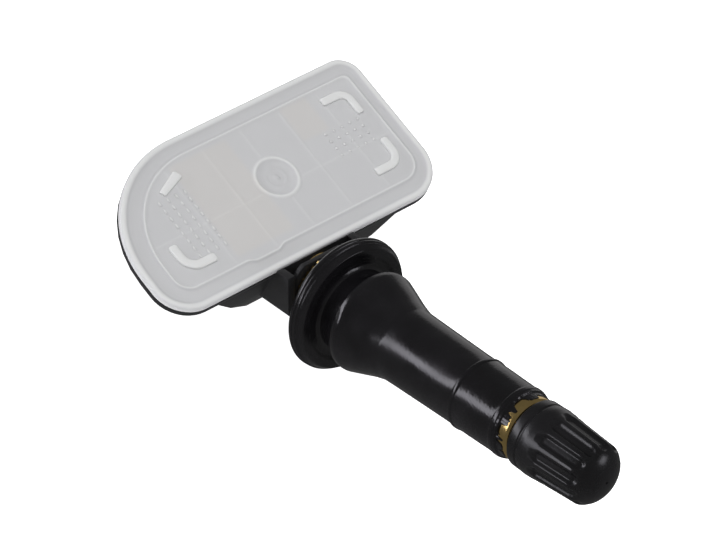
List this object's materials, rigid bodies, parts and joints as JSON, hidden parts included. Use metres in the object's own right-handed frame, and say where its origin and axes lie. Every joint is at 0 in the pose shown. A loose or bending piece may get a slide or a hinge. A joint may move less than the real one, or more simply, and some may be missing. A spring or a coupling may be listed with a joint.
{
  "type": "tire pressure monitor",
  "caption": "Direct tyre pressure sensor: black nylon housing with a welded natural cover on a brass-cored snap-in rubber valve stem with a fluted screw cap.",
  "frame": {"origin": "on the surface the object lies on, below the middle of the whole object's box", "axes": "+Z out of the cover plate, upwards; +X from the housing towards the valve's cap, the valve rising 25 degrees from it; +Y along the housing towards its square end"},
  "size_m": [0.0804, 0.0502, 0.0342],
  "materials": {
    "housing_nylon": "black glass-filled nylon, fine spark-eroded mould texture",
    "cover_nylon": "natural translucent nylon, satin, laser or heat welded",
    "board_laminate": "green solder mask on glass laminate",
    "moulded_epoxy": "moulded black epoxy package",
    "clear_silicone": "soft clear silicone",
    "ferrite": "ground ferrite",
    "enamelled_copper": "enamelled copper wire",
    "nickel_steel": "nickel-plated steel",
    "capacitor_ceramic": "fired ceramic with tinned ends",
    "valve_brass": "turned and rolled brass, bright",
    "valve_rubber": "black moulded rubber, satin bloom",
    "gasket_polymer": "red fluoropolymer",
    "seal_rubber": "black rubber",
    "spring_steel": "drawn stainless wire",
    "cap_plastic": "black moulded plastic, semi-gloss"
  },
  "bodies": {
    "sensor_and_valve": {"housing_shell": "housing_nylon", "cover_plate": "cover_nylon", "circuit_board": "board_laminate", "pressure_sensor_chip": "moulded_epoxy", "port_seal": "clear_silicone", "antenna_coil_core": "ferrite", "antenna_coil_winding": "enamelled_copper", "crystal_can": "nickel_steel", "capacitor_1": "capacitor_ceramic", "capacitor_2": "capacitor_ceramic", "capacitor_3": "capacitor_ceramic", "capacitor_4": "capacitor_ceramic", "radio_antenna": "enamelled_copper", "battery_can": "nickel_steel", "battery_lid": "nickel_steel", "battery_tab_negative": "nickel_steel", "battery_tab_positive": "nickel_steel", "valve_stem": "valve_brass", "rubber_valve_body": "valve_rubber", "core_plug": "valve_brass", "core_barrel": "valve_brass", "core_gasket": "gasket_polymer", "core_spring": "spring_steel"},
    "core_pin": {"core_pin": "nickel_steel", "core_cup": "valve_brass", "core_seat_seal": "seal_rubber"},
    "cap_seal": {"cap_seal": "seal_rubber"},
    "valve_cap": {"valve_cap": "cap_plastic"}
  },
  "joints": [
    {"name": "cap_lift", "type": "slide", "parent": "sensor_and_valve", "child": "cap_seal", "axis": [0.9063, 0, 0.4226], "range_m": [0, 0.012]},
    {"name": "cap_spin", "type": "hinge", "parent": "cap_seal", "child": "valve_cap", "pos_m": [0.0401, -0.00043, 0.03134], "axis": [0.9063, 0, 0.4226], "range_deg": [0, 5443]},
    {"name": "pin_press", "type": "slide", "parent": "sensor_and_valve", "child": "core_pin", "axis": [-0.9063, 0, -0.4226], "range_m": [0, 0.001], "stiffness_N_per_m": 1500, "springref_m": -0.001, "deforming": ["core_spring"]}
  ],
  "couplings": [
    {"joint": "cap_spin", "follows": "cap_lift", "rad_per_m": 7915.8}
  ]
}
